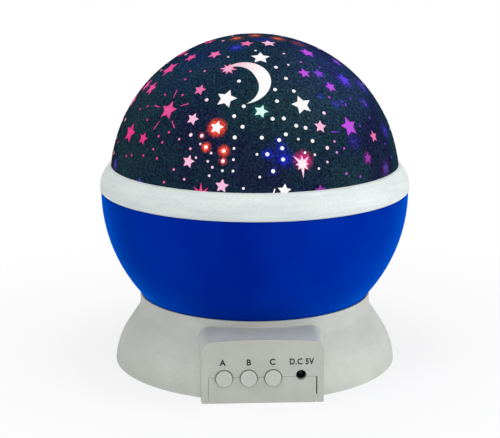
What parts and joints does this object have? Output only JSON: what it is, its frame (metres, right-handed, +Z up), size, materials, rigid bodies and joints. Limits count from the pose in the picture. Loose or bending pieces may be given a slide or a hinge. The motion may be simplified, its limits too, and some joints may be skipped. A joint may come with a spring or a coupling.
{
  "type": "star projector night light",
  "caption": "Star night light: a motor-turned blue ball with a white collar and a lift-off star-pierced dome, on a bell-shaped base with a push-button panel.",
  "frame": {"origin": "centre of the footprint, on the surface that the feet stand on", "axes": "+Z up along the turning axis, the control panel faces -Y, +X to the viewer's right"},
  "size_m": [0.1308, 0.1308, 0.1391],
  "materials": {
    "white": "fine satin",
    "collar": "satin gloss",
    "deck": "matt",
    "steel": "plated",
    "rubber": "matt",
    "blue": "glossy",
    "dome": "fine grain, dark, with clear windows",
    "acetal": "waxy",
    "brass": "turned",
    "motor": "plated can",
    "board": "solder mask",
    "lens_blue": "clear tint",
    "lens_green": "clear tint",
    "lens_red": "clear tint",
    "lens_clear": "clear",
    "button": "satin",
    "black": "moulded",
    "nickel": "nickel plated",
    "cell": "plain sleeve",
    "wire": "insulated"
  },
  "bodies": {
    "base": {"base_shell": "white", "bottom_cover": "white", "gear_deck": "deck", "cover_screws": "steel", "foot_1": "rubber", "foot_2": "rubber", "foot_3": "rubber", "foot_4": "rubber", "idler_spindle": "steel", "motor_can": "motor", "lamp_post": "deck", "post_clip": "acetal", "lamp_holder": "deck", "lamp_board": "board", "main_board": "board", "lamp_blue": "lens_blue", "lamp_green": "lens_green", "lamp_red": "lens_red", "lamp_white": "lens_clear", "switch_a": "black", "switch_b": "black", "switch_c": "black", "power_inlet": "black", "inlet_pin": "nickel", "cell_1": "cell", "cell_2": "cell", "cell_3": "cell", "contact_plate_1": "nickel", "contact_plate_2": "nickel", "contact_plate_3": "nickel", "contact_spring_1": "nickel", "contact_spring_2": "nickel", "contact_spring_3": "nickel", "lamp_wires": "wire", "motor_wires": "wire", "battery_wires": "wire"},
    "ball": {"bowl": "blue", "ring_gear": "acetal"},
    "shade": {"collar_ring": "collar", "star_dome": "dome"},
    "idler": {"idler_gear": "acetal"},
    "rotor": {"motor_pinion": "brass", "motor_shaft": "steel"},
    "key_a": {"button_a": "button", "plunger_a": "black"},
    "key_b": {"button_b": "button", "plunger_b": "black"},
    "key_c": {"button_c": "button", "plunger_c": "black"},
    "door": {"battery_door": "white"}
  },
  "joints": [
    {"name": "ball_spin", "type": "hinge", "parent": "base", "child": "ball", "pos_m": [0, 0, 0.03], "axis": [0, 0, 1], "continuous": true},
    {"name": "idler_spin", "type": "hinge", "parent": "base", "child": "idler", "pos_m": [0, -0.0288, 0.018], "axis": [0, 0, 1], "continuous": true},
    {"name": "motor_spin", "type": "hinge", "parent": "base", "child": "rotor", "pos_m": [-0.01812, -0.032, 0.017], "axis": [0, 0, 1], "continuous": true},
    {"name": "shade_lift", "type": "slide", "parent": "ball", "child": "shade", "axis": [0, 0, 1], "range_m": [0, 0.06]},
    {"name": "button_a_press", "type": "slide", "parent": "base", "child": "key_a", "axis": [0, 1, 0], "range_m": [0, 0.001], "stiffness_N_per_m": 900, "springref_m": -0.0005},
    {"name": "button_b_press", "type": "slide", "parent": "base", "child": "key_b", "axis": [0, 1, 0], "range_m": [0, 0.001], "stiffness_N_per_m": 900, "springref_m": -0.0005},
    {"name": "button_c_press", "type": "slide", "parent": "base", "child": "key_c", "axis": [0, 1, 0], "range_m": [0, 0.001], "stiffness_N_per_m": 900, "springref_m": -0.0005},
    {"name": "door_swing", "type": "hinge", "parent": "base", "child": "door", "pos_m": [0, 0.0413, 0.0001], "axis": [1, 0, 0], "range_deg": [0, 75]}
  ],
  "couplings": [
    {"joint": "idler_spin", "follows": "ball_spin", "ratio": -5},
    {"joint": "motor_spin", "follows": "ball_spin", "ratio": 18}
  ]
}
